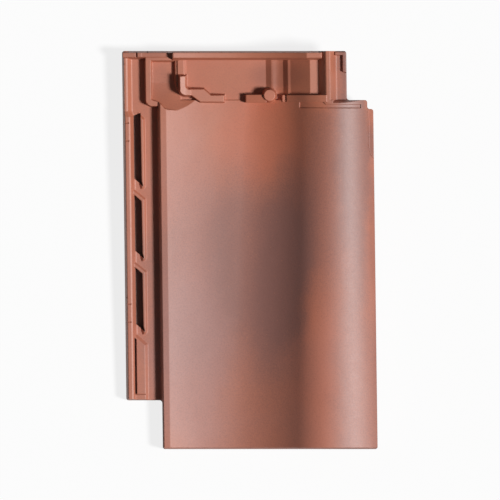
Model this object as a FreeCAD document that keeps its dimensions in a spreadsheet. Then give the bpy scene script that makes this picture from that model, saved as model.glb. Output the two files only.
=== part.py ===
"""Interlocking clay roof pantile, one fired piece, in millimetres.

X runs across the tile to the right, Y from the tail to the head and Z up from the bed.
While it is modelled, X starts at the outer edge of the side channel, Y at the tail and Z at the
underside of the side channel. The finished tile is then turned to lie as it rests on a floor.
Plain numbers in an outline are small bevels, or the hidden overlap that joins one form to the next.
"""
import FreeCAD, Part
import math
import os
import Sketcher

# Driving sizes, in millimetres; a name with angle is in degrees, and side_lean is a slope.
# An inset is measured from the right side, a distance from the end of the face towards the head and a
# setback from the head towards the tail, except that the setbacks of the roll's end and of the band are
# measured from the end of the face, and the foot's from the tail.
SIZES = {
    # Whole tile
    "tile_length": 422,
    "tile_width": 265.7,
    "side_lean": 0.0127,
    "body_thickness": 12,
    "corner_radius": 2.2,
    "inner_corner_radius": 2.4,
    "tail_edge_width": 1.5,
    "tail_edge_drop": 4,
    # Pan
    "face_left": 38,
    "head_plate_length": 52,
    "lip_width": 7.9,
    "lip_bevel": 1.7,
    "trough_level": 14,
    "trough_inset_tail": 152.7,
    "trough_inset_head": 136.7,
    "pan_fall_tail": 7.4,
    "pan_fall_head": 8,
    "pan_foot_width": 8.4,
    # Roll
    "rise_tail": 36.5,
    "rise_head": 34,
    "crest_inset_tail": 50.5,
    "crest_inset_head": 43.5,
    "crest_radius_tail": 54,
    "crest_radius_head": 50,
    "edge_fall_tail": 17.4,
    "edge_fall_head": 21.3,
    "skirt_level": 12,
    "skirt_thickness": 9,
    # End of the roll, which the next tile covers
    "roll_end_setback": 9.5,
    "roll_end_inset": 6.4,
    "roll_end_slope": 3,
    "roll_end_depth": 9,
    "rebate_length": 54,
    "rebate_depth": 0.2,
    "rebate_wall": 8,
    "rebate_draft_angle": 10,
    "band_left_inset": 78.1,
    "band_right_inset": 13.1,
    "band_width": 3.8,
    "band_setback": 4.6,
    "band_depth": 1.1,
    # Side channel
    "channel_tail": 51.7,
    "channel_floor": 9,
    "channel_end_slope": 1.7,
    "outer_rib_level": 17,
    "outer_rib_width": 6.5,
    "outer_rib_bevel": 1.6,
    "outer_rib_slope": 3.4,
    "outer_rib_draft": 2.1,
    "head_rib_drop": 2,
    "head_rib_ramp": 6,
    "head_rib_setback": 70,
    "head_rib_narrowing": 2.2,
    "mark_width": 0.9,
    "mark_depth": 1,
    "notch_width": 1.5,
    "notch_depth": 1.3,
    "first_mark_setback": 76.8,
    "second_mark_setback": 95.7,
    "third_mark_setback": 268.7,
    "fourth_mark_setback": 287.8,
    "first_notch_setback": 14.6,
    "second_notch_setback": 262,
    # Pockets of the side channel
    "pocket_floor": 2.5,
    "pocket_left": 11.4,
    "pocket_width": 7.4,
    "pocket_fall": 8.8,
    "pocket_slant": 6.5,
    "pocket_rib_width": 2.6,
    "pocket_rib_height": 3.4,
    "pocket_draft_angle": 32,
    "first_pocket_setback": 68.5,
    "first_pocket_length": 66.5,
    "first_pocket_rise": 3,
    "second_pocket_setback": 152.5,
    "second_pocket_length": 59,
    "third_pocket_setback": 229.5,
    "third_pocket_length": 59.7,
    "pad_setback": 299.5,
    "pad_slant": 12.5,
    "pad_draft_angle": 44,
    "slot_width": 2.1,
    "slot_tail_margin": 7,
    "slot_line_width": 0.9,
    # Head plate, from the side channel to the right
    "inner_rib_left": 24.8,
    "inner_rib_width": 5.2,
    "inner_rib_level": 18.5,
    "recess_level": 11,
    "scoop_radius": 90.8,
    "scoop_middle": 59.7,
    "scoop_setback": 22,
    "scoop_floor_reach": 12,
    "scoop_reach": 50,
    "recess_depth": 11.5,
    "recess_draft_angle": 14,
    "block_left": 56.4,
    "block_width": 10.2,
    "block_level": 16.5,
    "block_corner_radius": 12,
    "block_distance": 6.5,
    "block_draft_angle": 12,
    "block_pad_level": 18.2,
    "block_pad_width": 6.4,
    "block_pad_length": 15.5,
    "head_ground_setback": 9,
    "panel_level": 13,
    "first_step_inset": 113.3,
    "terrace_left_inset": 107.7,
    "terrace_level": 16.5,
    "second_step_inset": 95.1,
    "flank_left_inset": 90.1,
    "flank_level": 23.4,
    "seat_left_inset": 68.5,
    "seat_right_inset": 57.7,
    "seat_level": 36.5,
    "ridge_left_inset": 50.4,
    "ridge_right_inset": 45.3,
    "ledge_left_inset": 39.4,
    "ledge_level": 36.5,
    "head_plate_right_inset": 27.9,
    # Ribs of the head plate
    "rib_left": 61.2,
    "rib_width": 5.2,
    "rib_level": 23.5,
    "weather_rib_setback": 27,
    "weather_rib_rise": 4,
    "weather_rib_distance": 5.6,
    "weather_rib_overhang": 1,
    "weather_rib_run": 12.3,
    "weather_rib_slant": 9,
    "middle_rib_width": 8.2,
    "middle_rib_overhang": 2.6,
    "middle_rib_rise": 3.6,
    "roll_rib_width": 7.3,
    "roll_rib_overhang": 2,
    "roll_rib_lift": 1,
    "gap_width": 23.2,
    "gap_offset": 12,
    "low_rib_level": 19.5,
    "low_rib_width": 6.8,
    "low_rib_slope": 2.2,
    "groove_left": 14.3,
    "groove_width": 1.6,
    "groove_depth": 1.6,
    "low_block_left": 16.4,
    "low_block_width": 4.2,
    "tall_rib_left": 53.2,
    "tall_rib_right_inset": 53.8,
    "tall_rib_width": 5.4,
    "tall_rib_slope": 2.3,
    "tall_rib_rise": 21,
    "tall_rib_pad_width": 16.2,
    "tall_rib_low_length": 65,
    "tall_rib_low_radius": 412,
    "tall_rib_climb_radius": 156,
    "left_head_notch": 27.1,
    "right_head_notch_inset": 56.8,
    "head_edge_width": 1.8,
    "head_edge_drop": 9,
    "boss_top_radius": 5.9,
    "boss_base_radius": 8.8,
    "boss_level": 29.5,
    "boss_offset": 3.5,
    "boss_distance": 5,
    "rim_height": 3.8,
    "rim_width": 3.1,
    # Underside
    "nib_depth": 11,
    "nib_length": 14,
    "nib_width": 22,
    "nib_setback": 12,
    "nib_spacing": 70,
    "nib_root": 4,
    "foot_setback": 3,
    "foot_length": 10,
}


class Size:
    """A size with its value and the sheet formula that gives it."""

    def __init__(self, value, formula):
        self.value = value
        self.formula = formula

    def joined(self, other, sign, value):
        return Size(value, f"({self.formula} {sign} {as_size(other).formula})")

    def __add__(self, other):
        return self.joined(other, "+", self.value + as_size(other).value)

    def __sub__(self, other):
        return self.joined(other, "-", self.value - as_size(other).value)

    def __mul__(self, other):
        return self.joined(other, "*", self.value * as_size(other).value)

    def __truediv__(self, other):
        return self.joined(other, "/", self.value / as_size(other).value)

    def __radd__(self, other):
        return as_size(other) + self

    def __rsub__(self, other):
        return as_size(other) - self

    def __rmul__(self, other):
        return as_size(other) * self

    def root(self):
        return Size(math.sqrt(self.value), f"sqrt({self.formula})")


def as_size(number):
    if isinstance(number, Size):
        return number
    return Size(float(number), f"({float(number)})")


def make_sheet():
    """Spreadsheet with one row for each driving size."""
    sheet = doc.addObject("Spreadsheet::Sheet", "Sizes")
    for row, (alias, value) in enumerate(SIZES.items(), start=1):
        sheet.set(f"A{row}", alias.replace("_", " "))
        sheet.set(f"B{row}", str(value))
        sheet.setAlias(f"B{row}", alias)
    doc.recompute()


class Sizes:
    """Gives each driving size by its name, and the place across the tile of each name with an inset."""

    def __getattr__(self, alias):
        if alias in SIZES:
            return Size(float(SIZES[alias]), f"Sizes.{alias}")
        inset = alias + "_inset"
        return self.tile_width - Size(float(SIZES[inset]), f"Sizes.{inset}")

    @property
    def face_end(self):
        """Distance from the tail to the end of the face, where the head plate starts."""
        return self.tile_length - self.head_plate_length


size = Sizes()
doc = FreeCAD.newDocument("pantile")


def bind(thing, path, value):
    thing.setExpression(path, as_size(value).formula)


def arc_between(start, end, radius):
    """Arc of less than half a turn; a positive radius has its centre left of the way from start to end."""
    chord = end - start
    middle = (start + end) / 2
    reach = math.sqrt(radius**2 - chord.Length**2 / 4)
    left = FreeCAD.Vector(-chord.y, chord.x, 0).normalize()
    centre = middle + left * math.copysign(reach, radius)
    first, last = (start, end) if radius > 0 else (end, start)
    first_angle = math.atan2(first.y - centre.y, first.x - centre.x)
    last_angle = math.atan2(last.y - centre.y, last.x - centre.x)
    circle = Part.Circle(centre, FreeCAD.Vector(0, 0, 1), abs(radius))
    return Part.ArcOfCircle(circle, first_angle, last_angle)


def outline(name, corners):
    """Closed sketch through corners (across, up), or (across, up, radius) where an arc leaves the corner."""
    sketch = doc.addObject("Sketcher::SketchObject", name)
    points = [FreeCAD.Vector(as_size(c[0]).value, as_size(c[1]).value, 0) for c in corners]
    count = len(corners)
    # Point 1 of a sketch edge is its start and point 2 its end; in a clockwise arc they change places
    starts = []
    for index, corner in enumerate(corners):
        start = points[index]
        end = points[(index + 1) % count]
        if len(corner) == 3:
            radius = as_size(corner[2])
            sketch.addGeometry(arc_between(start, end, radius.value), False)
            starts.append(1 if radius.value > 0 else 2)
        else:
            sketch.addGeometry(Part.LineSegment(start, end), False)
            starts.append(1)
    for index in range(count):
        following = (index + 1) % count
        ends = (index, 3 - starts[index], following, starts[following])
        sketch.addConstraint(Sketcher.Constraint("Coincident", *ends))
    for index, corner in enumerate(corners):
        for kind, place in (("DistanceX", as_size(corner[0])), ("DistanceY", as_size(corner[1]))):
            measure = Sketcher.Constraint(kind, -1, 1, index, starts[index], place.value)
            number = sketch.addConstraint(measure)
            bind(sketch, f"Constraints[{number}]", place)
        if len(corner) == 3:
            radius = as_size(corner[2])
            number = sketch.addConstraint(Sketcher.Constraint("Radius", index, abs(radius.value)))
            bind(sketch, f"Constraints[{number}]", radius if radius.value > 0 else 0 - radius)
    return sketch


def section(name, station, corners):
    """Outline across the tile, standing at a station from the tail and moved with the lean of the sides."""
    sketch = outline(name, corners)
    sketch.Placement = FreeCAD.Placement(FreeCAD.Vector(), FreeCAD.Rotation(FreeCAD.Vector(1, 0, 0), 90))
    bind(sketch, "Placement.Base.x", 0 - size.side_lean * station)
    bind(sketch, "Placement.Base.y", station)
    return sketch


def bar(name, start, end, corners):
    """Section run along the sides from one distance from the tail to another."""
    solid = doc.addObject("Part::Extrusion", name)
    solid.Base = section(name + "_section", start, corners)
    solid.DirMode = "Custom"
    solid.Dir = FreeCAD.Vector(0, 1, 0)
    bind(solid, "Dir.x", 0 - size.side_lean * (as_size(end) - start))
    bind(solid, "Dir.y", as_size(end) - start)
    solid.LengthFwd = 0
    solid.Solid = True
    return solid


def plate(name, bottom, top, corners, draft=0):
    """Plan outline, true at its top, run down to the bottom; draft in degrees widens it downwards."""
    plan = []
    for corner in corners:
        leaned = as_size(corner[0]) - size.side_lean * corner[1]
        plan.append((leaned, *corner[1:]))
    sketch = outline(name + "_plan", plan)
    bind(sketch, "Placement.Base.z", top)
    solid = doc.addObject("Part::Extrusion", name)
    solid.Base = sketch
    solid.DirMode = "Custom"
    solid.Dir = FreeCAD.Vector(0, 0, -1)
    bind(solid, "LengthFwd", as_size(top) - bottom)
    solid.Solid = True
    if draft:
        bind(solid, "TaperAngle", draft)
    return solid


def rectangle(left, right, near, far):
    return [(left, near), (right, near), (right, far), (left, far)]


def cross_bar(name, left, right, corners, station=0):
    """Outline of (along, up) points run from left to right, moved by the lean of the sides at a station."""
    sketch = outline(name + "_section", corners)
    turn_up = FreeCAD.Rotation(FreeCAD.Vector(1, 1, 1), 120)
    sketch.Placement = FreeCAD.Placement(FreeCAD.Vector(), turn_up)
    bind(sketch, "Placement.Base.x", as_size(left) - size.side_lean * station)
    solid = doc.addObject("Part::Extrusion", name)
    solid.Base = sketch
    solid.DirMode = "Custom"
    solid.Dir = FreeCAD.Vector(1, 0, 0)
    bind(solid, "LengthFwd", as_size(right) - left)
    solid.Solid = True
    return solid


def joined(name, solids):
    whole = doc.addObject("Part::MultiFuse", name)
    whole.Shapes = solids
    return whole


def cut(name, base, tool):
    result = doc.addObject("Part::Cut", name)
    result.Base = base
    result.Tool = tool
    return result


class Wave:
    """Face of the pan and roll at one end: four tangent arcs, from the lip to the turned-down edge."""

    def __init__(self, end):
        self.trough_middle = size.tile_width - getattr(size, f"trough_inset_{end}")
        self.crest_radius = getattr(size, f"crest_radius_{end}")
        rise = getattr(size, f"rise_{end}")
        inset = getattr(size, f"crest_inset_{end}")
        edge_fall = getattr(size, f"edge_fall_{end}")
        pan_fall = getattr(size, f"pan_fall_{end}")
        self.crest_middle = size.tile_width - inset
        self.crest_level = size.trough_level + rise
        self.span = self.crest_middle - self.trough_middle
        self.reach = (self.span * self.span + rise * rise) / (2 * rise)
        self.trough_radius = self.reach - self.crest_radius
        self.edge_radius = (inset * inset + edge_fall * edge_fall) / (2 * edge_fall)
        self.edge_level = self.crest_level - edge_fall
        pan_width = self.trough_middle - size.face_left - size.lip_width
        self.pan_radius = (pan_width * pan_width + pan_fall * pan_fall) / (2 * pan_fall)
        self.rise = rise

    def pan_height(self, across, depth=0):
        """Height of the shallow arc left of the trough, a depth under the face."""
        return hollow_height(across - self.trough_middle, self.pan_radius, depth)

    def trough_height(self, across, depth=0):
        """Height of the hollow arc right of the trough, a depth under the face."""
        return hollow_height(across - self.trough_middle, self.trough_radius, depth)

    def edge_height(self, across, depth=0):
        """Height of the arc right of the crest, a depth under the face."""
        radius = self.edge_radius - depth
        away = across - self.crest_middle
        return self.crest_level - self.edge_radius + (radius * radius - away * away).root()

    def crest_height(self, across, depth=0):
        """Height of the arc left of the crest, a depth under the face."""
        radius = self.crest_radius - depth
        away = across - self.crest_middle
        return self.crest_level - self.crest_radius + (radius * radius - away * away).root()

    def turning_point(self, depth=0):
        """Place where the hollow arc meets the rounded one, a depth under the face."""
        share = (self.trough_radius + depth) / self.reach
        across = self.trough_middle + self.span * share
        return across, size.trough_level + self.trough_radius - (self.reach - self.rise) * share


def hollow_height(away, radius, depth):
    lowered = radius + depth
    return size.trough_level + radius - (lowered * lowered - away * away).root()


def cover_section(name, station, wave, drop=0):
    """Pan lip, trough, roll and the side turned down over the next channel; drop lowers the face."""
    left = size.face_left
    foot_end = left + size.pan_foot_width
    under = size.body_thickness
    pan_start = foot_end + 6
    inner_edge = size.tile_width - size.skirt_thickness
    lip_end = left + size.lip_width
    lip_level = wave.pan_height(lip_end, drop)
    corners = [
        (left, 0),
        (foot_end, 0),
        (pan_start, wave.pan_height(pan_start, under), wave.pan_radius + under),
        (wave.trough_middle, size.trough_level - under, wave.trough_radius + under),
        (*wave.turning_point(under), under - wave.crest_radius),
        (wave.crest_middle, wave.crest_level - under, under - wave.edge_radius),
        (inner_edge, wave.edge_height(inner_edge, under)),
        (inner_edge, size.skirt_level),
        (size.tile_width - 1, size.skirt_level),
        (size.tile_width, size.skirt_level + 1),
        (size.tile_width, wave.edge_height(size.tile_width, drop), wave.edge_radius - drop),
        (wave.crest_middle, wave.crest_level - drop, wave.crest_radius - drop),
        (*wave.turning_point(drop), 0 - wave.trough_radius - drop),
        (wave.trough_middle, size.trough_level - drop, 0 - wave.pan_radius - drop),
        (lip_end, lip_level),
        (left + size.lip_bevel, lip_level),
        (left, lip_level - size.lip_bevel * 1.5),
    ]
    return section(name, station, corners)


def core_section(name, station, wave, depth):
    """Everything under the roll's face lowered by a depth."""
    edge = size.tile_width - size.roll_end_inset
    return section(name, station, [
        (wave.trough_middle, -10),
        (edge, -10),
        (edge, wave.edge_height(edge, depth), wave.edge_radius - depth),
        (wave.crest_middle, wave.crest_level - depth, wave.crest_radius - depth),
        (*wave.turning_point(depth), 0 - wave.trough_radius - depth),
        (wave.trough_middle, size.trough_level - depth),
    ])


def lofted(name, sections):
    solid = doc.addObject("Part::Loft", name)
    solid.Sections = sections
    solid.Solid = True
    solid.Ruled = True
    return solid


def make_cover(tail_wave, head_wave):
    """Face from tail to head, lofted between two waves as the roll is wider and higher at the tail."""
    end = size.face_end
    cover = lofted("cover", [
        cover_section("tail_edge", as_size(0), tail_wave, size.tail_edge_drop),
        cover_section("tail_section", size.tail_edge_width, tail_wave),
        cover_section("head_section", end, head_wave),
    ])
    core = lofted("core", [
        core_section("tail_core", as_size(0), tail_wave, size.band_depth),
        core_section("head_core", end, head_wave, size.band_depth),
    ])
    top = head_wave.crest_level + 10
    right = size.tile_width
    roll_end = end - size.roll_end_setback
    edge = right - size.roll_end_inset
    corner = plate("roll_end_corner", 0, top, rectangle(edge, right + 10, roll_end, end + 10))
    rebate_tail = roll_end - size.rebate_length
    rebate_level = head_wave.edge_level - size.rebate_depth
    rebate = plate("roll_rebate", rebate_level, rebate_level + size.rebate_wall, [
        (edge, rebate_tail + 13),
        (edge + 2, rebate_tail + 5),
        (right + 4, rebate_tail - 6),
        (right + 4, roll_end + 6),
        (edge, roll_end + 6),
    ], 0 - size.rebate_draft_angle)
    crest = head_wave.crest_level
    slope = cross_bar("roll_end_slope", size.ledge_left - 3, right, [
        (end - size.roll_end_slope * 1.3, crest + size.roll_end_depth * 0.3),
        (end, crest - size.roll_end_depth),
        (end + 2, crest - size.roll_end_depth),
        (end + 2, crest + size.roll_end_depth * 0.3),
    ], end)
    band_far = end - size.band_setback
    band_near = band_far - size.band_width
    notch = size.ridge_left
    area = plate("band_area", size.trough_level, top, [
        (size.band_left, band_near), (size.band_right, band_near), (size.band_right, band_far),
        (notch, band_far), (notch - 4, band_far + 4), (notch - 4, end + 1), (size.band_left, end + 1)])
    band = cut("band", area, core)
    return cut("trimmed_cover", cover, joined("cover_cuts", [corner, rebate, slope, band]))


def make_channel():
    """Side channel: outer rib, floor and the fillet along the pan."""
    rib_end = size.outer_rib_width + size.outer_rib_bevel
    floor = size.channel_floor
    top = size.outer_rib_level
    draft = size.outer_rib_draft
    wall = size.face_left
    inside = wall + size.pan_foot_width - 2
    return bar("channel", size.channel_tail, size.tile_length, [
        (1.2, 0),
        (inside, 0),
        (inside, floor),
        (wall + 1, floor),
        (wall + 1, floor + 1.5),
        (wall, floor + 1.3),
        (wall - 1.3, floor),
        (rib_end + size.outer_rib_slope + 1, floor),
        (rib_end + size.outer_rib_slope, floor + 0.6),
        (rib_end, top - 0.8),
        (size.outer_rib_width, top),
        (draft + 0.7, top),
        (draft, top - 0.7),
        (0, 1.2),
    ])


def make_marks():
    """Fine lines across the outer rib, small notches in the edges and the slanted end of the channel."""
    top = size.outer_rib_level
    tools = []
    for number in ("first", "second", "third", "fourth"):
        near = size.tile_length - getattr(size, f"{number}_mark_setback")
        area = rectangle(size.outer_rib_draft, size.outer_rib_width, near, near + size.mark_width)
        tools.append(plate(f"{number}_rib_mark", top - size.mark_depth, top + 1, area))
    depth = size.outer_rib_draft + size.notch_depth
    for number in ("first", "second"):
        near = size.tile_length - getattr(size, f"{number}_notch_setback")
        notch = [(-1, near), (depth, near + size.notch_width / 2), (-1, near + size.notch_width)]
        tools.append(plate(f"{number}_side_notch", size.channel_floor, top + 1, notch))
    near = size.channel_tail
    tools.append(cross_bar("channel_end", -3, size.face_left - 1.5, [
        (near - 2, size.channel_floor - 5),
        (near, size.channel_floor - 5),
        (near + size.channel_end_slope, top + 3),
        (near - 2, top + 3),
    ], near))
    return tools


def rib_fall_section(name, station, drop, inset):
    """Room above the outer rib once it is lowered and its inner side moved outwards."""
    top = size.outer_rib_level - drop
    floor = size.channel_floor
    rib_end = size.outer_rib_width + size.outer_rib_bevel
    slope_end = rib_end + size.outer_rib_slope
    return section(name, station, [
        (-8, top),
        (size.outer_rib_width - inset, top),
        (rib_end - inset, top - 0.8),
        (slope_end - inset, floor + 0.6),
        (slope_end + 1 - inset, floor),
        (slope_end + 1.5, floor),
        (slope_end + 1.5, size.outer_rib_level + 5),
        (-8, size.outer_rib_level + 5),
    ])


def make_rib_fall():
    """Lower and narrower head end of the outer rib, which starts with a short ramp."""
    ramp = size.tile_length - size.head_rib_setback
    drop = size.head_rib_drop
    inset = size.head_rib_narrowing
    return lofted("head_rib_fall", [
        rib_fall_section("ramp_start", ramp, as_size(0), as_size(0)),
        rib_fall_section("ramp_end", ramp + size.head_rib_ramp, drop, inset),
        rib_fall_section("rib_end", size.tile_length + 2, drop, inset),
    ])


def make_pocket_ribs():
    """Ribs round each pocket, and the raised pad of the last field with its slot."""
    ribs = []
    tools = []
    left = size.pocket_left
    right = left + size.pocket_width
    outer = right + size.pocket_rib_width
    floor = size.channel_floor
    top = floor + size.pocket_rib_height
    root = size.outer_rib_width
    fall = size.pocket_fall
    slant = size.pocket_slant
    # Each field with how far the pocket's head end falls to the right
    for name, lean in (("first", 0 - size.first_pocket_rise), ("second", slant), ("third", slant)):
        head = size.tile_length - getattr(size, name + "_pocket_setback")
        tail = head - getattr(size, name + "_pocket_length")
        tip = tail - fall
        # The rib runs down the right side and round the tip; inside the pocket it is cut away again
        side = [
            (outer, tip + 1.4, -2.2),
            (outer - 1.6, tip - 0.6),
            (right - 1, tail - 2),
        ]
        if name == "first":
            band = [(right - 0.5, head - 1.2), (outer, head - 4.2)] + side
        else:
            band = [(root, head + slant + 0.7), (outer, head - slant + 1.5)] + side
            band += [(right - 1, head - slant), (left - 1, head + 1), (root, head + 1.6)]
        ribs.append(plate(name + "_rib", floor - 1, top, band, size.pocket_draft_angle))
        tools.append(plate(name + "_pocket", size.pocket_floor, top + 10, [
            (left, head),
            (left, tail),
            (outer - 0.5, tip),
            (right + 0.5, tail - 3.2),
            (right, head - lean),
        ]))
    head = size.tile_length - size.pad_setback
    near = as_size(size.channel_tail)
    pad = plate("last_pad", floor - 1, top, [
        (root, head),
        (outer - 1, head - size.pad_slant),
        (outer - 1, near - 5),
        (root, near - 5),
    ], size.pad_draft_angle)
    field = plate("last_field", floor - 1, top + 1, rectangle(root, outer + 8, near, head + 8))
    kept_pad = doc.addObject("Part::Common", "kept_pad")
    kept_pad.Base = pad
    kept_pad.Tool = field
    ribs.append(kept_pad)
    slot_left = left - 2
    slot_right = slot_left + size.slot_width
    slot_end = near + size.slot_tail_margin
    slot = [(slot_left, head - 4), (slot_left, slot_end), (slot_right, slot_end), (slot_right, head - 6.5)]
    tools.append(plate("last_slot", floor - 2, top + 1, slot))
    line_width = size.slot_line_width
    end_line = rectangle(slot_left, outer + 2.6, slot_end - line_width, slot_end)
    tools.append(plate("last_line", top - line_width, top + 1, end_line))
    return ribs, tools


def make_head_side():
    """Left of the head: the channel's inner rib, which curls into the pan, and the recess's ground."""
    left = size.inner_rib_left
    low = size.face_end - 6.4
    far = size.tile_length - 2
    return plate("head_side", 0, size.inner_rib_level, [
        (left, far),
        (left, low + 8, 7),
        (left + 6, low),
        (size.rib_left, low),
        (size.rib_left, far),
    ], 6)


def make_scoop():
    """Recess between inner rib and block: level at the head, and a round bowl up to the pan."""
    floor = size.recess_level
    radius = size.scoop_radius
    station = size.tile_length - size.scoop_setback
    middle = size.scoop_middle
    far = size.tile_length - size.head_ground_setback
    reach = size.scoop_floor_reach
    edge = size.scoop_reach
    centre = floor + (radius * radius - reach * reach).root()
    bowl = doc.addObject("Part::Sphere", "scoop_bowl")
    bind(bowl, "Radius", radius)
    bind(bowl, "Placement.Base.x", middle - size.side_lean * station)
    bind(bowl, "Placement.Base.y", station)
    bind(bowl, "Placement.Base.z", centre)
    side = cross_bar("scoop_side", middle - 50, middle, [
        (far + 2, floor),
        (far + 2, floor + 40),
        (station - edge, floor + 40),
        (station - edge, centre - (radius * radius - edge * edge).root(), radius),
        (station - reach, floor),
    ], station)
    left = size.inner_rib_left + size.inner_rib_width - 0.8
    end = size.face_end
    # The low edge curls from the inner rib to the right, a little further down the face at each corner
    limit = plate("recess_limit", floor, floor + size.recess_depth, [
        (left, far),
        (left, end + 1.4, 2.6),
        (left + 2.6, end - 1.4),
        (left + 8, end - 2.8),
        (left + 11.6, end - 5.2),
        (left + 14.4, end - 8.6),
        (left + 18.2, end - 10.4),
        (left + 27, end - 11.4),
        (left + 40, end - 13),
        (left + 62, end - 13),
        (left + 62, far),
    ], 0 - size.recess_draft_angle)
    scoop = doc.addObject("Part::Common", "scoop")
    scoop.Base = joined("scoop_room", [bowl, side])
    scoop.Tool = limit
    return scoop


def make_head_wave(wave):
    """Panel and the stepped wave that the next tile's roll covers."""
    panel = size.panel_level
    right = size.head_plate_right
    ridge = wave.crest_level
    ledge = size.ledge_level
    seat = size.seat_level
    under = size.body_thickness - 1
    return bar("head_wave", size.face_end - 2.8, size.tile_length, [
        (size.block_left, 0),
        (size.first_step - 8, 0),
        (size.second_step, size.terrace_level - under),
        (size.seat_left, seat - under - 2),
        (size.ridge_left, ridge - under - 1),
        (size.ledge_left, ledge - under + 2),
        (right, ledge - under + 2),
        (right, ledge - 0.6),
        (right - 0.6, ledge),
        (size.ledge_left + 1, ledge),
        (size.ledge_left - 0.6, ledge + 1.2),
        (size.ridge_right + 0.8, ridge - 1),
        (size.ridge_right - 0.2, ridge),
        (size.ridge_left + 1, ridge),
        (size.ridge_left, ridge - 0.8),
        ((size.ridge_left + size.seat_right) / 2 + 0.6, (ridge + seat) / 2 + 0.8),
        (size.seat_right, seat - 0.2),
        (size.seat_left + 1.8, seat + 0.3),
        (size.seat_left, seat - 0.8),
        (size.flank_left + 2.8, size.flank_level + 0.6),
        (size.flank_left, size.flank_level),
        (size.second_step, size.terrace_level + 1.6, -20),
        (size.terrace_left + 2, size.terrace_level),
        (size.terrace_left, size.terrace_level - 0.2),
        (size.first_step, panel),
        (size.block_left, panel),
    ])


def tall_rib_section(name, station, drop):
    """Tall rib across the head, which follows the wave up to a level pad; drop lowers its top."""
    left = size.tall_rib_left
    right = size.tall_rib_right
    top = size.rib_level - drop
    low_end = left + size.tall_rib_low_length
    pad_level = top + size.tall_rib_rise
    pad_left = right - size.tall_rib_pad_width
    return section(name, station, [
        (left, size.channel_floor),
        (low_end, size.channel_floor),
        (size.second_step, size.terrace_level - 2),
        (pad_left, size.seat_level - 5),
        (right, size.seat_level - 5),
        (right, pad_level - 0.5),
        (right - 0.6, pad_level),
        (pad_left, pad_level, 0 - size.tall_rib_climb_radius),
        (low_end, top, 0 - size.tall_rib_low_radius),
        (left + 1.2, top + 5),
        (left, top + 4),
    ])


def make_head_ribs(wave):
    """Ribs that stand on the head plate and hold the next tile's tail."""
    far = size.tile_length
    low = size.low_rib_level
    near = far - size.low_rib_width
    edge = size.head_edge_width
    low_rib = cross_bar("low_head_rib", 0.8, size.tall_rib_left - 5, [
        (near - size.low_rib_slope, size.channel_floor - 1),
        (near, low - 0.6),
        (near + 0.7, low),
        (far - edge, low),
        (far, low - size.head_edge_drop),
        (far, size.channel_floor - 1),
    ], far)
    block_left = size.low_block_left
    block = rectangle(block_left, block_left + size.low_block_width, near + 0.5, far - edge)
    low_block = plate("low_rib_block", size.channel_floor, low + 0.6, block, 8)
    tall_near = far - edge - size.tall_rib_width
    drop = size.rib_level - size.panel_level - size.tall_rib_slope
    tall_rib = lofted("tall_head_rib", [
        tall_rib_section("tall_rib_foot", tall_near - size.tall_rib_slope, drop),
        tall_rib_section("tall_rib_near", tall_near, as_size(0)),
        tall_rib_section("tall_rib_far", far - edge, as_size(0)),
        tall_rib_section("tall_rib_end", far, size.head_edge_drop),
    ])
    others = [make_block(), make_weather_rib(), make_middle_rib(), make_roll_rib(wave), make_rim()]
    return [low_rib, low_block, tall_rib] + others


def make_block():
    """Raised ground left of the panel, with the flat pad at its head."""
    left = size.block_left
    far = size.tile_length - size.head_ground_setback
    low = size.face_end + size.block_distance
    hidden = size.recess_level - 3
    body = plate("block", hidden, size.block_level, [
        (left, far),
        (left, low + 11, size.block_corner_radius),
        (left + 10.5, low),
        (left + 14, low),
        (left + 14, low + 5),
        (left + size.block_width, low + 5),
        (left + size.block_width, far),
    ], size.block_draft_angle)
    pad_left = left + 2.4
    pad_area = rectangle(pad_left, pad_left + size.block_pad_width, far - size.block_pad_length, far)
    pad = plate("pad", hidden, size.block_pad_level, pad_area, 22)
    return joined("block_with_pad", [body, pad])


def gap_sides():
    """Left and right side of the gap between the two ribs along the panel, through which water drains."""
    middle = (size.rib_left + size.first_step) / 2 + size.gap_offset
    return middle - size.gap_width / 2, middle + size.gap_width / 2


def make_weather_rib():
    """Rib that runs down from the pad and then along the panel in two steps to the right."""
    left = size.rib_left
    width = size.rib_width
    low = size.face_end + size.weather_rib_distance
    arm = size.face_end - size.weather_rib_overhang
    top = size.rib_level + size.weather_rib_rise
    far = size.tile_length - size.weather_rib_setback
    slant = left + size.weather_rib_run
    arm_end = gap_sides()[0] - 0.7
    rib = plate("weather_rib", size.recess_level - 3, top, [
        (left, far),
        (left, low + width, width),
        (left + width, low),
        (slant, low),
        (slant + size.weather_rib_slant, arm),
        (arm_end, arm),
        (arm_end, arm + width),
        (slant + 19.5, arm + width),
        (slant + 12.2, low + width),
        (left + width + 3, low + width),
        (left + width, low + width + 3),
        (left + width, far),
    ], 9)
    level = size.rib_level
    shaping = bar("weather_rib_tops", arm - 6, far + 6, [
        (left - 6, top + 1),
        (left - 4, top + 0.8),
        (slant - 6, level + 2.2),
        (slant - 1.2, level + 1.6),
        (slant - 1, level + 0.6),
        (slant + 16, level - 0.2),
        (arm_end + 3, level - 1.2),
        (arm_end + 3, top + 3),
        (left - 6, top + 3),
    ])
    return cut("shaped_weather_rib", rib, shaping)


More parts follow.
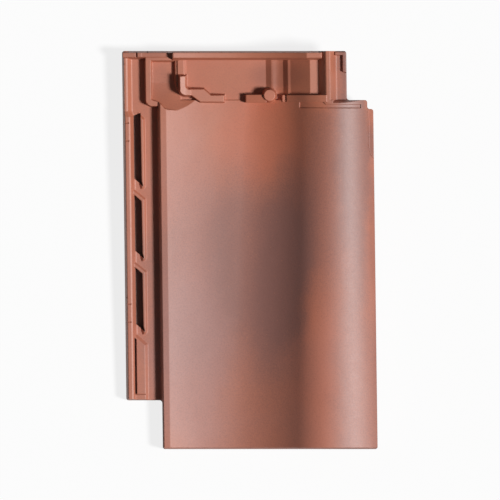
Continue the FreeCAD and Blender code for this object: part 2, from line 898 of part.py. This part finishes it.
def make_middle_rib():
    """Short rib right of the drain gap, which ends at a round boss."""
    near = size.face_end - size.middle_rib_overhang
    left = gap_sides()[1]
    right = size.first_step
    rib = bar("middle_rib", near, near + size.middle_rib_width, [
        (left - 1, size.panel_level - 4),
        (left, size.rib_level - 2),
        (left + 0.6, size.rib_level - 1.2),
        (right, size.rib_level + size.middle_rib_rise),
        (right, size.panel_level - 4),
    ])
    boss = doc.addObject("Part::Cone", "boss")
    middle = right + size.boss_offset
    station = size.face_end + size.boss_distance
    base = size.panel_level - 1
    bind(boss, "Radius1", size.boss_base_radius)
    bind(boss, "Radius2", size.boss_top_radius)
    bind(boss, "Height", size.boss_level - base)
    bind(boss, "Placement.Base.x", middle - size.side_lean * station)
    bind(boss, "Placement.Base.y", station)
    bind(boss, "Placement.Base.z", base)
    return joined("middle_rib_with_boss", [rib, boss])


def make_roll_rib(wave):
    """Rib along the end of the roll, a little above its face, with a small block at its low end."""
    left = size.second_step + 3.4
    right = size.ridge_left + 1
    lift = 0 - size.roll_rib_lift
    near = size.face_end - size.roll_rib_overhang
    far = near + size.roll_rib_width
    rib = bar("roll_rib_run", near, far, [
        (left, size.terrace_level - 2),
        (right, size.seat_level - 4),
        (right, wave.crest_height(right, lift), wave.crest_radius - lift),
        (*wave.turning_point(lift), 0 - wave.trough_radius - lift),
        (left, wave.trough_height(left, lift)),
    ])
    level = wave.trough_height(left, 1)
    block = bar("roll_rib_block", near, far, [
        (left - 5, size.terrace_level - 2),
        (left + 1, size.terrace_level - 2),
        (left + 1, level),
        (left - 4.4, level),
        (left - 5, level - 0.6),
    ])
    return joined("roll_rib", [rib, block])


def make_rim():
    """Small rim round the head corner of the ledge."""
    right = size.head_plate_right - 0.8
    inside = right - size.rim_width
    far = size.tile_length - 1.2
    top = size.ledge_level + size.rim_height
    return plate("corner_rim", size.ledge_level - 1, top, [
        (size.ledge_left - 0.4, far - 3),
        (inside, far - 3),
        (inside, far - 20.5),
        (right, far - 21.5),
        (right, far),
        (size.ledge_left - 0.4, far),
    ], 8)


def make_underside(wave):
    """Two hanging nibs under the head and the foot along the tail."""
    far = size.tile_length - size.nib_setback
    near = far - size.nib_length
    low = 0 - size.nib_depth
    root = size.nib_root
    parts = []
    for name, left in (("left_nib", size.rib_left), ("right_nib", size.rib_left + size.nib_spacing)):
        parts.append(cross_bar(name, left, left + size.nib_width, [
            (near, low),
            (far - 2, low),
            (far, low + 3),
            (far, size.panel_level - 4),
            (near - root, size.panel_level - 4),
            (near - root, 0),
            (near, 0 - root),
        ], near))
    mid = size.body_thickness / 2
    start = size.face_left + size.pan_foot_width - 2
    end = wave.trough_middle + 50
    parts.append(bar("tail_foot", size.foot_setback, size.foot_setback + size.foot_length, [
        (start, 0),
        (end - 4, 0),
        (end, mid),
        (end, wave.trough_height(end, mid), 0 - wave.trough_radius - mid),
        (wave.trough_middle, size.trough_level - mid, 0 - wave.pan_radius - mid),
        (start + 4, wave.pan_height(start + 4, mid)),
        (start, mid),
    ]))
    return parts


def corner_cutter(name, corner, right, far):
    """Tool that rounds a plan corner; right and far are 1 or -1 and say which way the corner points."""
    radius = size.corner_radius
    # The arc is a little flatter than a quarter circle, so it meets the sides at a slight angle
    flatter = radius * 1.25
    across, along = as_size(corner[0]), as_size(corner[1])
    side = (across, along - radius * far)
    end = (across - radius * right, along)
    way = [
        side,
        (across + 1.5 * right, along - radius * far),
        (across + 1.5 * right, along + 1.5 * far),
        (across - radius * right, along + 1.5 * far),
    ]
    if right * far > 0:
        return plate(name, -2, 60, way + [(*end, 0 - flatter)])
    return plate(name, -2, 60, [end] + way[:0:-1] + [(*side, 0 - flatter)])


def corner_fill(name, corner, right, far, bottom, top):
    """Small fillet in an inner plan corner; right and far are 1 or -1 and point to the open side."""
    radius = size.inner_corner_radius
    root = 0.5
    flatter = radius * 1.2
    across, along = as_size(corner[0]), as_size(corner[1])
    return plate(name, bottom, top, [
        (across - root * right, along - root * far),
        (across + radius * right, along - root * far),
        (across + radius * right, along, flatter * (-right * far)),
        (across, along + radius * far),
        (across - root * right, along + radius * far),
    ])


def make_corner_fills(head_wave):
    """Fillets where the channel's end, the head plate and the roll's end stop against a side."""
    end = size.face_end
    channel_end = (size.face_left, size.channel_tail)
    roll_edge = (size.tile_width - size.roll_end_inset, end - size.roll_end_setback)
    rebate_level = head_wave.edge_level - size.rebate_depth
    ledge = size.ledge_level
    return [
        corner_fill("channel_end_fillet", channel_end, -1, -1, 0, size.channel_floor),
        corner_fill("ledge_fillet", (size.head_plate_right, end), 1, 1, ledge - 6, ledge),
        corner_fill("roll_end_fillet", roll_edge, 1, 1, size.skirt_level, rebate_level),
    ]


def make_head_grooves():
    """Groove across the low head rib and two small notches in the head edge."""
    far = size.tile_length
    low = size.low_rib_level
    groove = rectangle(size.groove_left, size.groove_left + size.groove_width, far - 12, far + 1)
    tools = [plate("low_rib_groove", low - size.groove_depth, low + 3, groove)]
    depth = size.head_edge_width + size.notch_depth
    half = size.notch_width / 2
    for name, level in (("left", low), ("right", size.rib_level + size.tall_rib_rise)):
        middle = getattr(size, name + "_head_notch")
        notch = [(middle - half, far + 1), (middle, far - depth), (middle + half, far + 1)]
        tools.append(plate(name + "_head_notch", level - 8, level + 3, notch))
    return tools


def main():
    make_sheet()
    tail_wave = Wave("tail")
    head_wave = Wave("head")
    cover = make_cover(tail_wave, head_wave)
    ribs, tools = make_pocket_ribs()
    ground = joined("ground", [cover, make_channel(), make_head_side()] + ribs)
    tools += make_marks() + [make_rib_fall(), make_scoop()]
    hollow = cut("hollowed", ground, joined("hollows", tools))
    end = size.face_end
    gap = cross_bar("gap", *gap_sides(), [
        (end - 4, size.trough_level),
        (end - 0.5, size.trough_level),
        (end + 7.4, size.panel_level),
        (end + 7.4, size.panel_level + 10),
        (end - 4, size.panel_level + 10),
    ], end)
    head = cut("opened_head_wave", make_head_wave(head_wave), gap)
    added = make_head_ribs(head_wave) + make_underside(tail_wave) + make_corner_fills(head_wave)
    whole = joined("joined_tile", [hollow, head] + added)
    corners = [
        ("left_head", (0, size.tile_length), -1, 1),
        ("right_head", (size.head_plate_right, size.tile_length), 1, 1),
        ("roll_head", (size.tile_width - size.roll_end_inset, end), 1, 1),
        ("roll_side", (size.tile_width, end - size.roll_end_setback), 1, 1),
        ("roll_tail", (size.tile_width, 0), 1, -1),
        ("pan_tail", (size.face_left, 0), -1, -1),
        ("channel_tail", (0, size.channel_tail), -1, -1),
    ]
    cutters = [corner_cutter(name + "_corner", *rest) for name, *rest in corners]
    rounding = joined("corner_rounding", cutters + make_head_grooves())
    rounded = cut("rounded_tile", whole, rounding)
    doc.recompute()
    check()
    solids = rounded.Shape.removeSplitter().Solids
    if len(solids) != 1:
        raise RuntimeError(f"the tile is in {len(solids)} pieces")
    tile = doc.addObject("Part::Feature", "finished")
    tile.Label = "pantile"
    tile.Shape = solids[0]
    tile.Placement = resting_place(tile.Shape)
    check()
    os.makedirs("parts", exist_ok=True)
    tile.Shape.exportStep(f"parts/{tile.Label}.step")
    box = tile.Shape.optimalBoundingBox()
    print("solids", len(solids), "volume", round(tile.Shape.Volume), "box", box)
    print("centre", tile.Shape.CenterOfMass, "faces", len(tile.Shape.Faces), "place", tile.Placement)


def resting_place(shape):
    """Turns the tile onto its nibs and its tail foot, with the middle of its base at the origin."""
    reach = size.tile_length - size.nib_setback - size.nib_length - size.foot_setback
    tilt = math.degrees(math.atan2(size.nib_depth.value, reach.value))
    turn = FreeCAD.Rotation(FreeCAD.Vector(1, 0, 0), tilt)
    turned = shape.copy()
    turned.Placement = FreeCAD.Placement(FreeCAD.Vector(), turn)
    box = turned.optimalBoundingBox()
    return FreeCAD.Placement(FreeCAD.Vector(-box.Center.x, -box.Center.y, -box.ZMin), turn)


def check():
    """Stops on any object that failed or has no valid shape."""
    for thing in doc.Objects:
        if "Invalid" in thing.State or "Error" in thing.State:
            raise RuntimeError(f"{thing.Name} failed: {thing.State}")
        if hasattr(thing, "Shape") and (thing.Shape.isNull() or not thing.Shape.isValid()):
            raise RuntimeError(f"{thing.Name} has no valid shape")


main()
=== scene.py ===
"""Fired clay pantile on a plain white floor, seen straight down on its face."""
import math

import bpy
from mathutils import Matrix, Vector

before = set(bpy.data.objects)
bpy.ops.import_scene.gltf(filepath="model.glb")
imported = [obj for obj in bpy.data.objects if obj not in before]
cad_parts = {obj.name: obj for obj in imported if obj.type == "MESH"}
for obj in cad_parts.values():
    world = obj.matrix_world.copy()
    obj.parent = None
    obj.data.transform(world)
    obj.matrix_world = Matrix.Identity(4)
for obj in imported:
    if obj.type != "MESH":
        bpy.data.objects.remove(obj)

# Lengths are in metres, angles in degrees and colours linear.
# The tile leans on its nibs by the rest tilt, and the camera looks square onto its face.
REST_TILT = 1.60328
VIEW_CENTRE = Vector((0.00023, 0.000864, 0.0))
VIEW_WIDTH = 0.530
CAMERA_DISTANCE = 1.5

# Light: a soft sun and a faint white sky
KEY_ELEVATION = 51.0
KEY_AZIMUTH = -16.0
KEY_SPREAD = 11.0
KEY_STRENGTH = 3.4
SKY_COLOUR = (1, 1, 1, 1)
SKY_STRENGTH = 0.07

# Floor: its pale colour, what it throws back onto the tile, as from a dull bench, and the share of plain
# white in it as the camera sees it, so that the shadow stays but is faint
FLOOR_SIZE = 6.0
FLOOR_COLOUR = (0.92, 0.92, 0.92, 1)
FLOOR_BOUNCE = (0.18, 0.18, 0.18, 1)
FLOOR_WHITE = 0.82

# Clay as fired, its other tones, and the dark tones used for painted shade
CLAY_RED = (0.485, 0.149, 0.080, 1)
CLAY_BRIGHT = (0.60, 0.165, 0.084, 1)
CLAY_SMOKED = (0.25, 0.105, 0.082, 1)
# Paler, greyer clay
CLAY_GREYER = (0.50, 0.27, 0.25, 1)
CLAY_PALE = (0.56, 0.21, 0.12, 1)
# Dark clay for speckle and grit, and the tone of the painted shade patches
CLAY_DARK = (0.20, 0.062, 0.04, 1)
# Painted shade: the tone that darkens the pockets' ground, where the shade falls
CLAY_POCKET_SHADE = (0.06, 0.025, 0.018, 1)
CLAY_GLOSS = 1.0

# Noise over the clay: scale, detail and roughness
CLOUD_NOISE = (22.0, 5.0, 0.6)
SPECKLE_NOISE = (650.0, 3.0, 0.65)
WANDER_NOISE = (24.0, 3.0, 0.5)
GLOSS_NOISE = (700.0, 3.0, 0.6)
UNEVEN_NOISE = (40.0, 2.0, 0.4)
GRAIN_NOISE = (1300.0, 4.0, 0.65)
GRIT_SCALE = 260.0
PALE_GRIT_SCALE = 190.0

# Ramps of these: the low and high of the noise, or of the distance to a grain, and what they become
CLOUD_RAMP = (0.3, 0.75, 0.0, 0.22)
SPECKLE_RAMP = (0.42, 0.72, 0.0, 0.16)
GRIT_RAMP = (0.16, 0.06, 0.0, 0.30)
PALE_GRIT_RAMP = (0.14, 0.05, 0.0, 0.35)
BORDER_RAMP = (0.3, 0.7, -0.42, 0.42)
ROUGHNESS_RAMP = (0.3, 0.7, 0.50, 0.56)

# Relief of the clay, and the radius of its edges
UNEVEN_DEPTH = 0.00020
GRAIN_DEPTH = 0.00006
EDGE_SOFTNESS = 0.0012
EDGE_SAMPLES = 8

# Faces that meet at less than this angle are shaded as one; places are matched to so many digits, and a
# corner's own normal has a small share, so that there is always one
SMOOTH_ANGLE = 9.0
PLACE_DIGITS = 5
OWN_SHARE = 1e-4

# Pockets: where the tail ends along y, the heights over the bed between which a wall turns dark and a
# pocket's ground ends, the places across between which its sides lie, and how dark its painted shade is
TAIL_END = -0.2103
POCKET_WALL = (0.0088, 0.0070)
POCKET_GROUND = (0.001, 0.002)
POCKET_LEFT = (-0.1255, -0.1245)
POCKET_RIGHT = (-0.108, -0.110)
POCKET_SHADE = 0.75

# No smoke reaches the head beyond the first places along y, left of the second ones along x
HEAD_SHELTER = (0.152, 0.143)
SIDE_SHELTER = (0.076, 0.088)

# Patches: centre x and y, half width, half length, turn and strength. A patch has its full strength up to
# the first share of its half size and has faded out at the second, and its border wanders by up to a reach.
# The smoke's border breaks up into grains, most where the smoke is about half as strong as the limit.
PATCH_FADE = (0.5, 1.3)
WANDER_REACH = 0.035
SMOKE_LIMIT = 1.1
SMOKE_PATCHES = (
    (-0.004, -0.010, 0.049, 0.101, 7.0, 0.75),
    (-0.060, -0.045, 0.060, 0.110, 1.0, 0.55),
    (-0.021, -0.141, 0.086, 0.100, 13.0, 0.36),
    (0.112, 0.120, 0.020, 0.200, 0.0, 0.80),
    (0.125, -0.200, 0.037, 0.200, 5.0, 0.50),
    (0.082, 0.062, 0.031, 0.115, 0.0, 0.53),
    (0.035, -0.027, 0.034, 0.113, -5.0, 0.95),
    (-0.068, 0.078, 0.032, 0.036, 0.0, 0.13),
    (-0.056, -0.068, 0.027, 0.038, 0.0, 0.16),
)
BRIGHT_PATCHES = (
    (0.012, 0.118, 0.044, 0.050, 0.0, 0.60),
    (0.070, -0.120, 0.026, 0.110, 0.0, 0.35),
)
# Painted shade: darker clay along the roll's right edge, in corners of the head where walls shade it, and
# along the tail edge
PAINTED_SHADE_PATCHES = (
    (0.137, 0.000, 0.006, 0.260, -0.7, 0.18),
    (0.1315, 0.016, 0.0055, 0.058, -0.7, 0.30),
    (0.030, 0.1850, 0.030, 0.0155, 0.0, 0.38),
    (-0.095, 0.176, 0.014, 0.022, 0.0, 0.22),
    (-0.110, 0.2078, 0.030, 0.006, 0.0, 0.28),
    (0.020, -0.2120, 0.200, 0.0018, 0.0, 0.55),
)
# Patches where the clay is paler and greyer
GREYER_PATCHES = (
    (-0.010, -0.030, 0.190, 0.160, 0.0, 0.10),
    (-0.064, -0.125, 0.042, 0.130, 0.0, 0.27),
    (0.085, -0.170, 0.050, 0.100, 0.0, 0.12),
    (-0.068, 0.082, 0.036, 0.072, 0.0, 0.11),
    (0.010, -0.200, 0.120, 0.034, 0.0, 0.07),
)


def add_object(name, data):
    made = bpy.data.objects.new(name, data)
    bpy.context.scene.collection.objects.link(made)
    return made


def make_camera():
    """Camera over the tile, turned with it."""
    turn = Matrix.Rotation(math.radians(REST_TILT), 3, "X")
    data = bpy.data.cameras.new("camera")
    data.type = "ORTHO"
    data.ortho_scale = VIEW_WIDTH
    camera = add_object("camera", data)
    place = VIEW_CENTRE + turn @ Vector((0, 0, CAMERA_DISTANCE))
    camera.matrix_world = Matrix.Translation(place) @ turn.to_4x4()
    bpy.context.scene.camera = camera


def make_key():
    """Soft lamp that comes from the roll side and a little from the tail."""
    data = bpy.data.lights.new("key", "SUN")
    data.energy = KEY_STRENGTH
    data.angle = math.radians(KEY_SPREAD)
    lamp = add_object("key", data)
    elevation = math.radians(KEY_ELEVATION)
    azimuth = math.radians(KEY_AZIMUTH)
    level = math.cos(elevation)
    towards = Vector((level * math.cos(azimuth), level * math.sin(azimuth), math.sin(elevation)))
    lamp.rotation_mode = "QUATERNION"
    lamp.rotation_quaternion = towards.to_track_quat("Z", "Y")


class Nodes:
    """Adds shader nodes to one tree, with each input given as a value or as another node's output."""

    def __init__(self, tree):
        self.tree = tree

    def add(self, kind, inputs=None, **settings):
        made = self.tree.nodes.new("ShaderNode" + kind)
        for name, value in settings.items():
            setattr(made, name, value)
        for name, value in (inputs or {}).items():
            self.feed(made.inputs[name], value)
        return made

    def feed(self, socket, value):
        if isinstance(value, bpy.types.NodeSocket):
            self.tree.links.new(value, socket)
        else:
            socket.default_value = value

    def math(self, operation, first, second):
        return self.add("Math", {0: first, 1: second}, operation=operation).outputs[0]

    def vector(self, operation, first, second):
        return self.add("VectorMath", {0: first, 1: second}, operation=operation).outputs[0]

    def noise(self, place, scale, detail, roughness):
        """Outputs of a noise: Fac is one number and Color has three."""
        inputs = {"Vector": place, "Scale": scale, "Detail": detail, "Roughness": roughness}
        return self.add("TexNoise", inputs).outputs

    def grains(self, place, scale):
        """Distance to the nearest of many scattered points."""
        inputs = {"Vector": place, "Scale": scale, "Randomness": 1.0}
        return self.add("TexVoronoi", inputs).outputs["Distance"]

    def ramp(self, value, from_low, from_high, to_low=0.0, to_high=1.0):
        inputs = {
            "Value": value,
            "From Min": from_low,
            "From Max": from_high,
            "To Min": to_low,
            "To Max": to_high,
        }
        return self.add("MapRange", inputs, interpolation_type="SMOOTHSTEP").outputs["Result"]

    def blend(self, share, first, second):
        mix = self.add("Mix", data_type="RGBA")
        self.feed(mix.inputs["Factor"], share)
        colours = [socket for socket in mix.inputs if socket.type == "RGBA"]
        self.feed(colours[0], first)
        self.feed(colours[1], second)
        return [socket for socket in mix.outputs if socket.type == "RGBA"][0]

    def relief(self, height, depth, normal):
        inputs = {"Strength": 1.0, "Distance": depth, "Height": height, "Normal": normal}
        return self.add("Bump", inputs).outputs[0]


def make_world():
    world = bpy.data.worlds.new("studio")
    bpy.context.scene.world = world
    world.use_nodes = True
    light = world.node_tree.nodes["Background"]
    light.inputs["Color"].default_value = SKY_COLOUR
    light.inputs["Strength"].default_value = SKY_STRENGTH


def ragged_place(nodes, place):
    """Place moved about by noise, so that the borders of the patches aren't even."""
    wander = nodes.noise(place, *WANDER_NOISE)["Color"]
    shift = nodes.vector("SUBTRACT", wander, (0.5, 0.5, 0.5))
    shift = nodes.add("VectorMath", {0: shift, "Scale": WANDER_REACH}, operation="SCALE").outputs[0]
    return nodes.vector("ADD", place, shift)


def patch_share(nodes, place, patches):
    """Share of the clay's surface that soft ellipses cover; where they overlap they add up."""
    bare = None
    for x, y, half_width, half_length, turn, strength in patches:
        inputs = {
            "Vector": place,
            "Location": (x, y, 0),
            "Rotation": (0, 0, math.radians(turn)),
            "Scale": (half_width, half_length, 1.0),
        }
        local = nodes.add("Mapping", inputs, vector_type="TEXTURE").outputs[0]
        distance = nodes.add("VectorMath", {0: local}, operation="LENGTH").outputs["Value"]
        left = nodes.ramp(distance, *PATCH_FADE, 1.0 - strength, 1.0)
        bare = left if bare is None else nodes.math("MULTIPLY", bare, left)
    return nodes.math("SUBTRACT", 1.0, bare)


def open_share(nodes, place):
    """One where smoke reached the tile: all but the head, which the next tile covers, left of the roll."""
    axes = nodes.add("SeparateXYZ", {0: place}).outputs
    below = nodes.ramp(axes["Y"], *HEAD_SHELTER)
    right = nodes.ramp(axes["X"], *SIDE_SHELTER)
    return nodes.math("MAXIMUM", below, right)


def pocket_shade_share(nodes, place):
    """One on the side channel's pockets, whose ground gets painted shade."""
    axes = nodes.add("SeparateXYZ", {0: place}).outputs
    along = nodes.math("SUBTRACT", axes["Y"], TAIL_END)
    rise = nodes.math("MULTIPLY", along, math.tan(math.radians(REST_TILT)))
    level = nodes.math("SUBTRACT", axes["Z"], rise)
    deep = nodes.math("MULTIPLY", nodes.ramp(level, *POCKET_WALL), nodes.ramp(level, *POCKET_GROUND))
    across = axes["X"]
    inside = nodes.math("MULTIPLY", nodes.ramp(across, *POCKET_LEFT), nodes.ramp(across, *POCKET_RIGHT))
    return nodes.math("MULTIPLY", deep, inside)


def clay_colour(nodes, place):
    """Red clay with cloudy, bright, smoked and paler greyer places, speckle and grit, and painted shade in
    dark patches and in the pockets.
    """
    cloud = nodes.noise(place, *CLOUD_NOISE)["Fac"]
    speckle = nodes.noise(place, *SPECKLE_NOISE)["Fac"]
    ragged = ragged_place(nodes, place)
    smoke = nodes.math("MULTIPLY", patch_share(nodes, ragged, SMOKE_PATCHES), open_share(nodes, place))
    border = nodes.math("MULTIPLY", smoke, nodes.math("SUBTRACT", SMOKE_LIMIT, smoke))
    crumbs = nodes.math("MULTIPLY", border, nodes.ramp(speckle, *BORDER_RAMP))
    # Painted shade on the ground of the side channel's pockets
    shade_in_pockets = nodes.math("MULTIPLY", pocket_shade_share(nodes, place), POCKET_SHADE)
    layers = (
        (nodes.ramp(cloud, *CLOUD_RAMP), CLAY_PALE),
        (patch_share(nodes, ragged, BRIGHT_PATCHES), CLAY_BRIGHT),
        (nodes.math("ADD", smoke, crumbs), CLAY_SMOKED),
        (patch_share(nodes, ragged, GREYER_PATCHES), CLAY_GREYER),
        # Painted shade from the dark patches
        (patch_share(nodes, place, PAINTED_SHADE_PATCHES), CLAY_DARK),
        (shade_in_pockets, CLAY_POCKET_SHADE),
        (nodes.ramp(speckle, *SPECKLE_RAMP), CLAY_DARK),
        (nodes.ramp(nodes.grains(place, GRIT_SCALE), *GRIT_RAMP), CLAY_DARK),
        (nodes.ramp(nodes.grains(place, PALE_GRIT_SCALE), *PALE_GRIT_RAMP), CLAY_PALE),
    )
    colour = CLAY_RED
    for share, tone in layers:
        colour = nodes.blend(share, colour, tone)
    return colour


def clay_normal(nodes, place):
    """Soft edges, the slight unevenness of a pressed face and the grain of the clay."""
    soft = nodes.add("Bevel", {"Radius": EDGE_SOFTNESS}, samples=EDGE_SAMPLES).outputs["Normal"]
    uneven = nodes.relief(nodes.noise(place, *UNEVEN_NOISE)["Fac"], UNEVEN_DEPTH, soft)
    return nodes.relief(nodes.noise(place, *GRAIN_NOISE)["Fac"], GRAIN_DEPTH, uneven)


def make_clay():
    material = bpy.data.materials.new("clay")
    material.use_nodes = True
    nodes = Nodes(material.node_tree)
    place = nodes.add("TexCoord").outputs["Object"]
    shader = material.node_tree.nodes["Principled BSDF"]
    rough = nodes.ramp(nodes.noise(place, *GLOSS_NOISE)["Fac"], *ROUGHNESS_RAMP)
    nodes.feed(shader.inputs["Base Color"], clay_colour(nodes, place))
    nodes.feed(shader.inputs["Roughness"], rough)
    nodes.feed(shader.inputs["Normal"], clay_normal(nodes, place))
    shader.inputs["Specular IOR Level"].default_value = CLAY_GLOSS
    return material


def smooth_normals(mesh):
    """Makes the shading run on across the borders of faces that meet at less than the smooth angle."""
    limit = math.cos(math.radians(SMOOTH_ANGLE))
    meetings = {}
    for face in mesh.polygons:
        spots = [mesh.vertices[index].co for index in face.vertices]
        for number, corner in enumerate(face.loop_indices):
            ahead = spots[(number + 1) % len(spots)] - spots[number]
            behind = spots[number - 1] - spots[number]
            place = tuple(round(value, PLACE_DIGITS) for value in spots[number])
            normal = mesh.corner_normals[corner].vector.copy()
            meetings.setdefault(place, []).append((corner, normal, ahead.angle(behind, 0.0)))
    normals = [Vector((0, 0, 1))] * len(mesh.loops)
    for corners in meetings.values():
        for corner, normal, _ in corners:
            near = [other * weight for _, other, weight in corners if other.dot(normal) > limit]
            normals[corner] = sum(near, normal * OWN_SHARE).normalized()
    mesh.shade_smooth()
    mesh.normals_split_custom_set(normals)


def make_floor():
    """White floor: most of what the camera and reflections see of it is plain white, the rest is lit."""
    mesh = bpy.data.meshes.new("floor")
    half = FLOOR_SIZE / 2
    corners = [(-half, -half, 0), (half, -half, 0), (half, half, 0), (-half, half, 0)]
    mesh.from_pydata(corners, [], [(0, 1, 2, 3)])
    floor = add_object("floor", mesh)
    material = bpy.data.materials.new("floor")
    material.use_nodes = True
    nodes = Nodes(material.node_tree)
    bounce = material.node_tree.nodes["Principled BSDF"]
    bounce.inputs["Base Color"].default_value = FLOOR_BOUNCE
    path = nodes.add("LightPath").outputs
    seen = nodes.math("MAXIMUM", path["Is Camera Ray"], path["Is Glossy Ray"])
    seen = nodes.math("MAXIMUM", seen, path["Is Transmission Ray"])
    pale = nodes.add("BsdfDiffuse", {"Color": FLOOR_COLOUR}).outputs[0]
    white = nodes.add("Emission", {"Strength": 1.0}).outputs[0]
    shown = nodes.add("MixShader", {0: FLOOR_WHITE, 1: pale, 2: white}).outputs[0]
    mix = nodes.add("MixShader", {0: seen, 1: bounce.outputs[0], 2: shown})
    nodes.feed(material.node_tree.nodes["Material Output"].inputs["Surface"], mix.outputs[0])
    mesh.materials.append(material)


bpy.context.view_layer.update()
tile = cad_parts["pantile"]
smooth_normals(tile.data)
tile.data.materials.clear()
tile.data.materials.append(make_clay())
make_camera()
make_key()
make_world()
make_floor()
bpy.context.scene.view_settings.view_transform = "Standard"
